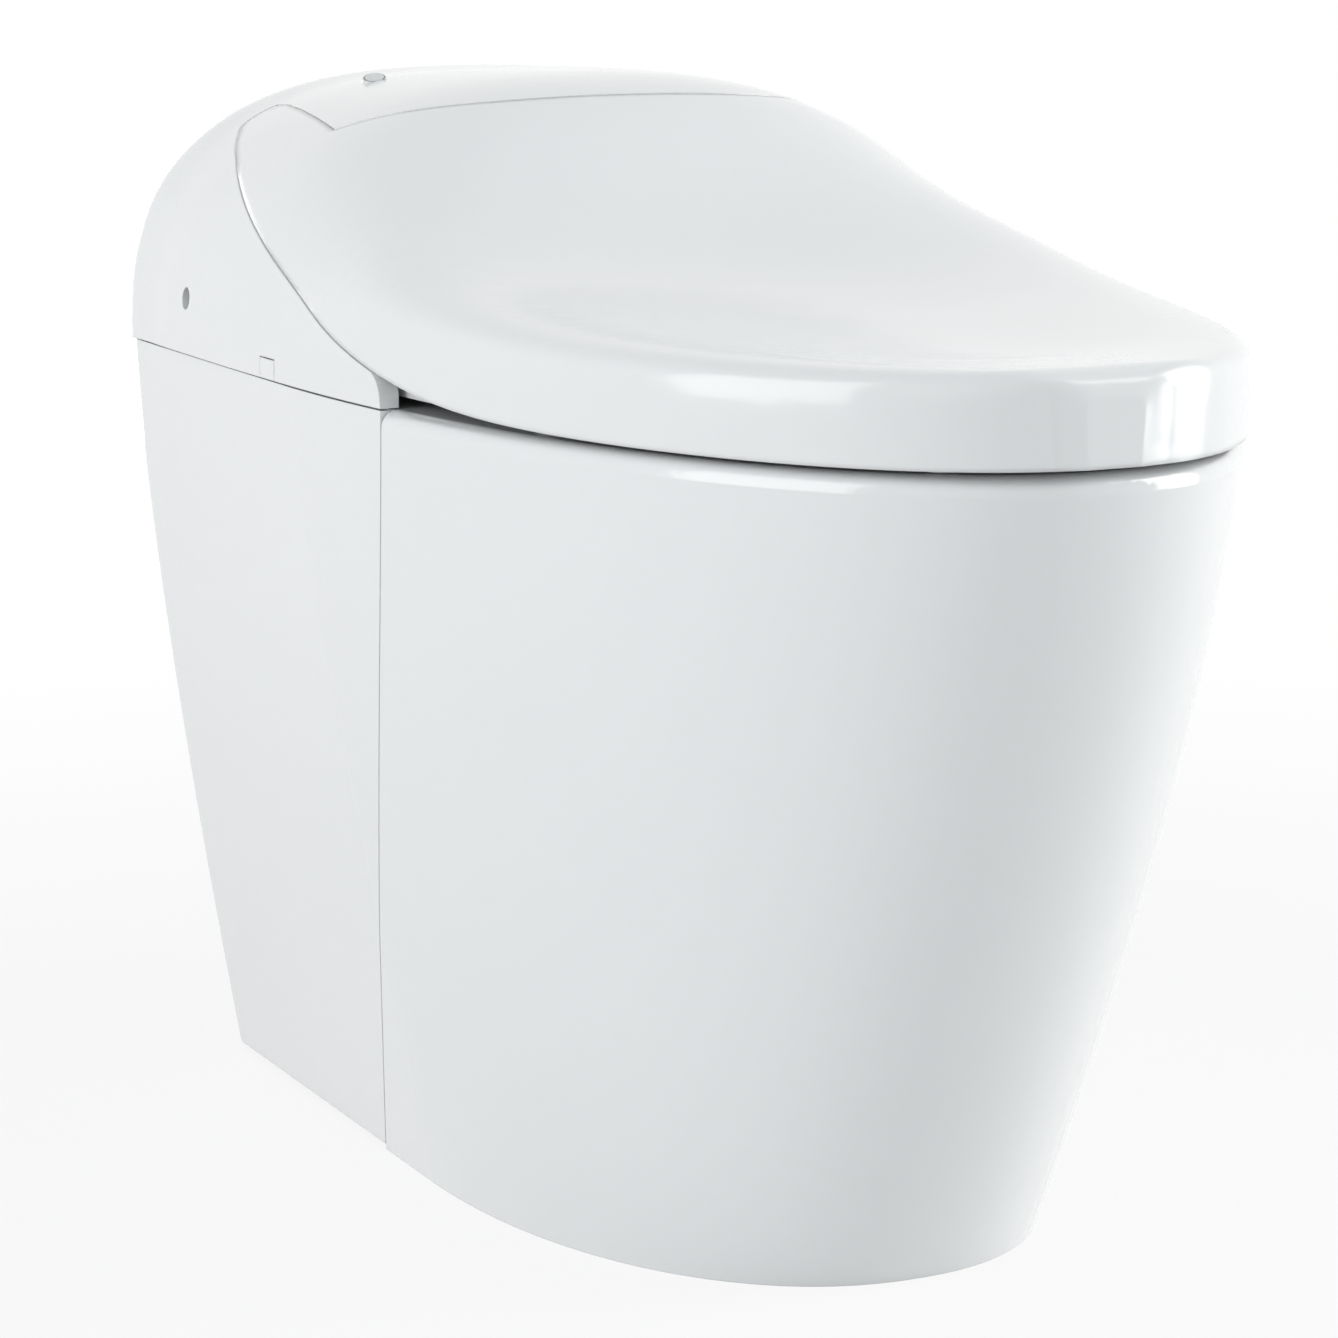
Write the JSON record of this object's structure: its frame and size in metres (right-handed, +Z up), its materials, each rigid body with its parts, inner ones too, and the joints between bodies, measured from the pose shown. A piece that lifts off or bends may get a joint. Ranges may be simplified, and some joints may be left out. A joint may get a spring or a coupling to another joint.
{
  "type": "smart toilet",
  "caption": "One-piece smart toilet: tapered glazed pedestal with side panels, domed rear unit, swept lid with ears over the unit, heated seat, wash wand and warm-air dryer.",
  "frame": {"origin": "on the floor, under the middle of the overall box with the lid closed", "axes": "+Z up, -Y to the front where the user sits down, +Y to the wall, +X to the sitter's left"},
  "size_m": [0.3892, 0.69, 0.5397],
  "materials": {
    "glazed_china": "glossy white glaze",
    "gloss_white": "glossy white moulding",
    "satin_white": "satin white moulding",
    "sensor_grey": "glossy grey window",
    "frame_grey": "matt grey moulding",
    "housing_pale": "matt pale grey moulding",
    "board_green": "matt green board",
    "buffer_rubber": "soft pale rubber",
    "seal_rubber": "soft black rubber",
    "steel": "brushed stainless steel",
    "brass": "turned brass"
  },
  "bodies": {
    "base": {"bowl": "glazed_china", "bracket_screw_left": "steel", "bracket_screw_right": "steel", "control_board": "board_green", "cord_gland": "frame_grey", "deodoriser_cartridge": "housing_pale", "dryer_housing": "frame_grey", "dryer_motor": "housing_pale", "floor_bracket_left": "steel", "floor_bracket_right": "steel", "flush_valve": "housing_pale", "front_casing": "satin_white", "inlet_valve": "housing_pale", "lid_drive": "housing_pale", "outlet_seal": "seal_rubber", "pedestal": "glazed_china", "power_supply": "housing_pale", "seat_drive": "housing_pale", "sensor_window": "sensor_grey", "side_panel_left": "gloss_white", "side_panel_right": "gloss_white", "side_screw_left": "steel", "side_screw_right": "steel", "supply_spigot": "brass", "tower_cover": "gloss_white", "trapway": "glazed_china", "unit_chassis": "frame_grey", "wand_guide": "frame_grey", "wand_motor": "housing_pale", "water_heater": "housing_pale"},
    "lid": {"lid_buffer_front_left": "buffer_rubber", "lid_buffer_front_right": "buffer_rubber", "lid_buffer_side_left": "buffer_rubber", "lid_buffer_side_right": "buffer_rubber", "lid_liner": "satin_white", "lid_pin_left": "steel", "lid_pin_right": "steel", "lid_shell": "gloss_white"},
    "seat": {"seat_base": "satin_white", "seat_buffer_front_left": "buffer_rubber", "seat_buffer_front_right": "buffer_rubber", "seat_buffer_side_left": "buffer_rubber", "seat_buffer_side_right": "buffer_rubber", "seat_pin_left": "steel", "seat_pin_right": "steel", "seat_ring": "satin_white"},
    "wand": {"wand_rack": "frame_grey", "wand_tip": "satin_white", "wand_tube": "steel"},
    "flap": {"dryer_flap": "satin_white"},
    "fan": {"dryer_impeller": "frame_grey"},
    "button": {"release_button": "gloss_white"}
  },
  "joints": [
    {"name": "lid_hinge", "type": "hinge", "parent": "base", "child": "lid", "pos_m": [0, 0.294, 0.5143], "axis": [-1, 0, 0], "range_deg": [0, 95]},
    {"name": "seat_hinge", "type": "hinge", "parent": "base", "child": "seat", "pos_m": [0, 0.105, 0.43], "axis": [-1, 0, 0], "range_deg": [0, 95]},
    {"name": "wand_slide", "type": "slide", "parent": "base", "child": "wand", "axis": [0, -0.809, -0.5878], "range_m": [0, 0.1]},
    {"name": "flap_hinge", "type": "hinge", "parent": "base", "child": "flap", "pos_m": [-0.048, 0.1292, 0.427], "axis": [-1, 0, 0], "range_deg": [0, 50]},
    {"name": "fan_spin", "type": "hinge", "parent": "base", "child": "fan", "pos_m": [-0.072, 0.207, 0.42], "axis": [0, 0, 1], "continuous": true},
    {"name": "button_slide", "type": "slide", "parent": "base", "child": "button", "axis": [1, 0, 0], "range_m": [0, 0.0025], "stiffness_N_per_m": 400}
  ],
  "couplings": [
    {"joint": "seat_hinge", "follows": "lid_hinge", "ratio": 1}
  ]
}
